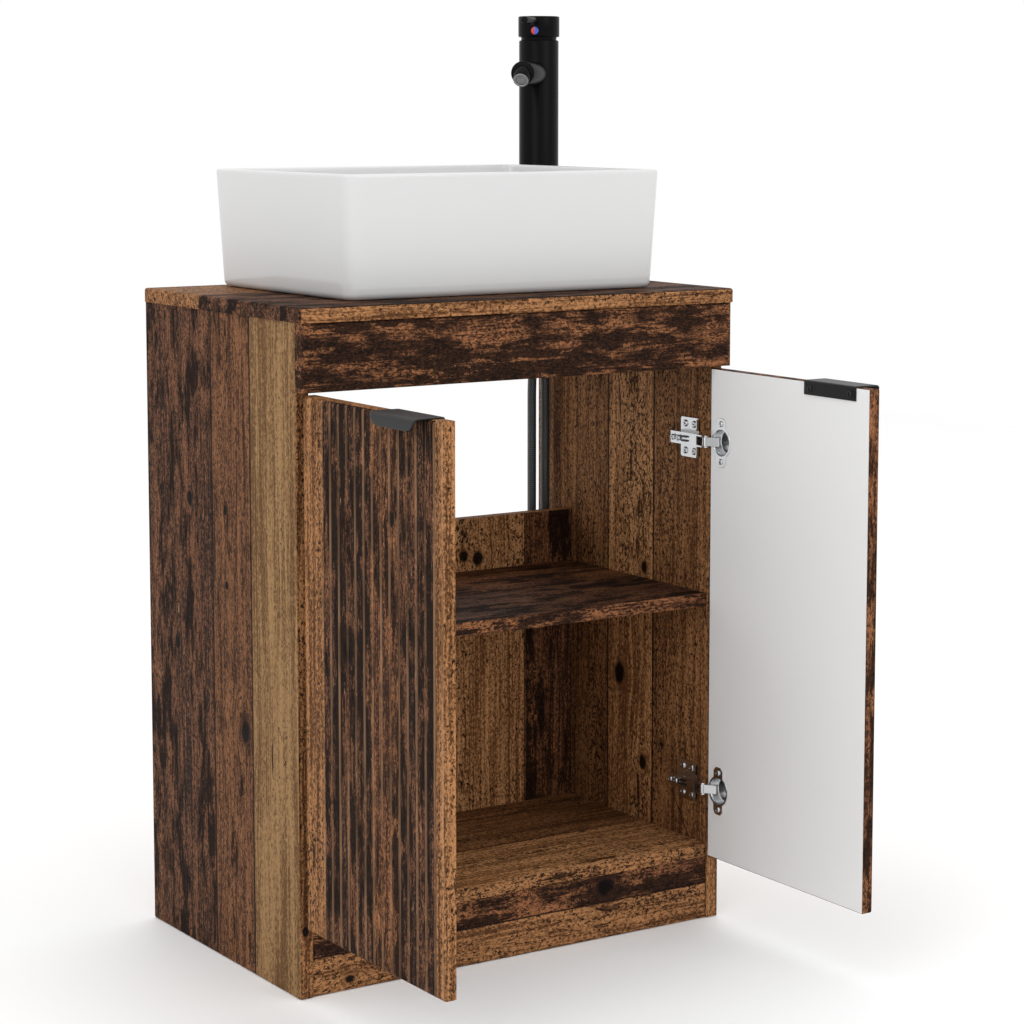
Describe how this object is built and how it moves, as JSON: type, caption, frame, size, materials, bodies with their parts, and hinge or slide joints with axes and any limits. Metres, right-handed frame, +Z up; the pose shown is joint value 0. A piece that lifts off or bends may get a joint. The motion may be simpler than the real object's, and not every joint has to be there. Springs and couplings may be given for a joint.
{
  "type": "bathroom vanity cabinet",
  "caption": "Floor-standing wood-decor bathroom vanity cabinet with double doors, a white countertop basin and a tall black mixer tap.",
  "frame": {"origin": "middle of the plinth's underside, at floor level", "axes": "+Z up; +Y to the wall behind the cabinet; +X to the right as seen from the front"},
  "size_m": [0.592, 0.648, 1.0695],
  "materials": {
    "wood_dark": "printed dark reclaimed-wood decor on board, satin",
    "wood_mid": "printed brown reclaimed-wood decor on board, satin",
    "wood_tan": "printed tan reclaimed-wood decor on board, satin",
    "door_lining": "white melamine on the doors' inner faces",
    "ceramic": "white gloss glaze",
    "tap_black": "matte black coating",
    "handle_black": "matte black powder coat",
    "screw_black": "black oxide",
    "hinge_zinc": "bright nickel-plated steel",
    "chrome_fitting": "polished chrome plate",
    "tap_brass": "raw machined brass",
    "hose_braid": "dark steel braid over rubber",
    "seal_rubber": "black rubber",
    "cartridge_plastic": "moulded plastic",
    "tap_indicator": "red and blue enamel dot"
  },
  "bodies": {
    "cabinet": {"left_side_panel": "wood_dark", "right_side_panel": "wood_dark", "apron": "wood_dark", "top_panel": "wood_mid", "plinth": "wood_mid", "shelf": "wood_mid", "bottom_panel": "wood_tan", "back_panel": "wood_tan", "rear_rail": "wood_tan", "basin": "ceramic", "tap_body": "tap_black", "apron_bracket_left": "hinge_zinc", "apron_bracket_right": "hinge_zinc", "hinge_plate_left_lower": "hinge_zinc", "hinge_plate_left_upper": "hinge_zinc", "hinge_plate_right_lower": "hinge_zinc", "hinge_plate_right_upper": "hinge_zinc", "hinge_arm_left_lower": "hinge_zinc", "hinge_arm_left_upper": "hinge_zinc", "hinge_arm_right_lower": "hinge_zinc", "hinge_arm_right_upper": "hinge_zinc", "shelf_pin_left_front": "chrome_fitting", "shelf_pin_left_rear": "chrome_fitting", "shelf_pin_right_front": "chrome_fitting", "shelf_pin_right_rear": "chrome_fitting", "waste_body": "chrome_fitting", "waste_nut": "chrome_fitting", "tap_aerator": "chrome_fitting", "hot_hose_ferrule": "chrome_fitting", "cold_hose_ferrule": "chrome_fitting", "hot_hose_nut": "chrome_fitting", "cold_hose_nut": "chrome_fitting", "tap_bonnet_nut": "tap_brass", "tap_shank": "tap_brass", "tap_nut": "tap_brass", "hot_hose": "hose_braid", "cold_hose": "hose_braid", "tap_washer": "seal_rubber", "tap_cartridge": "cartridge_plastic"},
    "left_door_leaf": {"left_door": "wood_dark", "left_handle": "handle_black", "handle_screw_left_1": "screw_black", "handle_screw_left_2": "screw_black", "hinge_cup_left_lower": "hinge_zinc", "hinge_cup_left_upper": "hinge_zinc"},
    "right_door_leaf": {"right_door": "wood_dark", "right_handle": "handle_black", "handle_screw_right_1": "screw_black", "handle_screw_right_2": "screw_black", "hinge_cup_right_lower": "hinge_zinc", "hinge_cup_right_upper": "hinge_zinc"},
    "hinge_link_left_lower": {"hinge_link_left_lower": "hinge_zinc"},
    "hinge_link_left_upper": {"hinge_link_left_upper": "hinge_zinc"},
    "hinge_link_right_lower": {"hinge_link_right_lower": "hinge_zinc"},
    "hinge_link_right_upper": {"hinge_link_right_upper": "hinge_zinc"},
    "tap_spindle": {"tap_spindle": "tap_brass"},
    "tap_handle": {"tap_cap": "tap_black", "tap_lever": "tap_black", "tap_indicator": "tap_indicator"},
    "waste_plug": {"waste_plug": "chrome_fitting"}
  },
  "joints": [
    {"name": "left_door_swing", "type": "hinge", "parent": "cabinet", "child": "left_door_leaf", "pos_m": [-0.274, -0.024, 0.3675], "axis": [0, 0, 1], "range_deg": [-20, 90]},
    {"name": "hinge_link_left_lower_turn", "type": "hinge", "parent": "cabinet", "child": "hinge_link_left_lower", "pos_m": [-0.254, -0.016, 0.16], "axis": [0, 0, 1], "range_deg": [-55, 13]},
    {"name": "hinge_link_left_upper_turn", "type": "hinge", "parent": "cabinet", "child": "hinge_link_left_upper", "pos_m": [-0.254, -0.016, 0.572], "axis": [0, 0, 1], "range_deg": [-55, 13]},
    {"name": "right_door_swing", "type": "hinge", "parent": "cabinet", "child": "right_door_leaf", "pos_m": [0.274, -0.024, 0.3675], "axis": [0, 0, -1], "range_deg": [-20, 90]},
    {"name": "hinge_link_right_lower_turn", "type": "hinge", "parent": "cabinet", "child": "hinge_link_right_lower", "pos_m": [0.254, -0.016, 0.16], "axis": [0, 0, -1], "range_deg": [-55, 13]},
    {"name": "hinge_link_right_upper_turn", "type": "hinge", "parent": "cabinet", "child": "hinge_link_right_upper", "pos_m": [0.254, -0.016, 0.572], "axis": [0, 0, -1], "range_deg": [-55, 13]},
    {"name": "tap_temperature", "type": "hinge", "parent": "cabinet", "child": "tap_spindle", "pos_m": [0.244, 0.318, 1.044], "axis": [0, 0, 1], "range_deg": [-45, 45]},
    {"name": "tap_flow", "type": "hinge", "parent": "tap_spindle", "child": "tap_handle", "pos_m": [0.25956, 0.33356, 1.044], "axis": [-0.7071, 0.7071, 0], "range_deg": [0, 18]},
    {"name": "waste_plug_slide", "type": "slide", "parent": "cabinet", "child": "waste_plug", "axis": [0, 0, 1], "range_m": [0, 0.008]}
  ],
  "couplings": [
    {"joint": "hinge_link_left_lower_turn", "follows": "left_door_swing", "ratio": -0.6},
    {"joint": "hinge_link_left_upper_turn", "follows": "left_door_swing", "ratio": -0.6},
    {"joint": "hinge_link_right_lower_turn", "follows": "right_door_swing", "ratio": -0.6},
    {"joint": "hinge_link_right_upper_turn", "follows": "right_door_swing", "ratio": -0.6}
  ]
}
